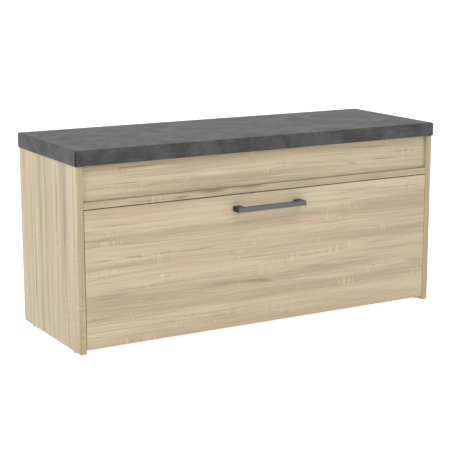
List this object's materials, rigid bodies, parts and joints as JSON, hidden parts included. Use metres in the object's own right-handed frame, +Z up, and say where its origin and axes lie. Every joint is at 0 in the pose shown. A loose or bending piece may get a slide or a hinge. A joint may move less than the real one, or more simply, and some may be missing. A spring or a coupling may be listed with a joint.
{
  "type": "entryway bench",
  "caption": "Entryway bench with a grey padded seat that lifts on rear hinges over a shallow compartment, above a wide tilt-out shoe flap in a light oak-look carcass.",
  "frame": {"origin": "on the floor, under the middle of the whole bench's box, handle and hinge knuckles included", "axes": "+Z up, +X along the bench to the right as seen from the front, +Y from the front to the back"},
  "size_m": [1.006, 0.38, 0.477],
  "materials": {
    "oak_board": "matt light oak-look melamine board with banded edges",
    "back_board": "thin fibreboard, light oak-look face inside and brown fibre outside",
    "seat_cover": "mottled dark-grey suede-like cover",
    "foam": "open-cell foam",
    "handle_metal": "satin dark-grey lacquer",
    "zinc_steel": "bright zinc plating",
    "grey_plastic": "fine-grained grey plastic",
    "clear_plastic": "translucent soft plastic dot",
    "beech": "raw fluted beech"
  },
  "bodies": {
    "carcass": {"back_panel": "back_board", "bottom_panel": "oak_board", "cam_bolt_floor_front_left": "zinc_steel", "cam_bolt_floor_front_right": "zinc_steel", "cam_bolt_floor_rear_left": "zinc_steel", "cam_bolt_floor_rear_right": "zinc_steel", "cam_bolt_rail_left": "zinc_steel", "cam_bolt_rail_right": "zinc_steel", "cam_bolt_upper_left": "zinc_steel", "cam_bolt_upper_right": "zinc_steel", "cam_floor_front_left": "zinc_steel", "cam_floor_front_right": "zinc_steel", "cam_floor_rear_left": "zinc_steel", "cam_floor_rear_right": "zinc_steel", "cam_rail_left": "zinc_steel", "cam_rail_right": "zinc_steel", "cam_upper_left": "zinc_steel", "cam_upper_right": "zinc_steel", "compartment_floor": "oak_board", "dowel_front_left": "beech", "dowel_front_right": "beech", "dowel_rear_left": "beech", "dowel_rear_right": "beech", "flap_pivot_pin_left": "zinc_steel", "flap_pivot_pin_right": "zinc_steel", "flap_stop_pin_left": "zinc_steel", "flap_stop_pin_right": "zinc_steel", "glide_front_left": "grey_plastic", "glide_front_right": "grey_plastic", "glide_rear_left": "grey_plastic", "glide_rear_right": "grey_plastic", "hinge_pin_left": "zinc_steel", "hinge_pin_right": "zinc_steel", "hinge_rail_leaf_left": "zinc_steel", "hinge_rail_leaf_right": "zinc_steel", "left_side_panel": "oak_board", "lid_bumper_left": "clear_plastic", "lid_bumper_right": "clear_plastic", "rear_rail": "oak_board", "right_side_panel": "oak_board", "stay_base": "zinc_steel", "upper_front_panel": "oak_board"},
    "seat_lid": {"seat_cover": "seat_cover", "seat_foam": "foam", "seat_board": "oak_board", "hinge_lid_leaf_left": "zinc_steel", "hinge_lid_leaf_right": "zinc_steel", "stay_lid_bracket": "zinc_steel"},
    "stay_arm": {"stay_arm": "zinc_steel", "stay_elbow_pin": "zinc_steel"},
    "stay_link": {"stay_link": "zinc_steel"},
    "flap": {"flap_front": "oak_board", "flap_handle": "handle_metal", "handle_screw_left": "zinc_steel", "handle_screw_right": "zinc_steel", "flap_cheek_left": "grey_plastic", "flap_cheek_right": "grey_plastic", "tray_floor": "oak_board", "tray_back": "oak_board", "tray_shelf": "oak_board"}
  },
  "joints": [
    {"name": "lid_hinge", "type": "hinge", "parent": "carcass", "child": "seat_lid", "pos_m": [0, 0.18715, 0.4407], "axis": [-1, 0, 0], "range_deg": [0, 95]},
    {"name": "flap_tilt", "type": "hinge", "parent": "carcass", "child": "flap", "pos_m": [0, -0.13295, 0.058], "axis": [1, 0, 0], "range_deg": [0, 45]},
    {"name": "stay_arm_pivot", "type": "hinge", "parent": "carcass", "child": "stay_arm", "pos_m": [0.4801, 0.15005, 0.4], "axis": [-1, 0, 0], "range_deg": [0, 95]},
    {"name": "stay_link_pivot", "type": "hinge", "parent": "seat_lid", "child": "stay_link", "pos_m": [0.4775, 0.03715, 0.43], "axis": [-1, 0, 0], "range_deg": [-95, 0]}
  ],
  "couplings": [
    {"joint": "stay_arm_pivot", "follows": "lid_hinge", "ratio": 1},
    {"joint": "stay_link_pivot", "follows": "lid_hinge", "ratio": -1}
  ]
}
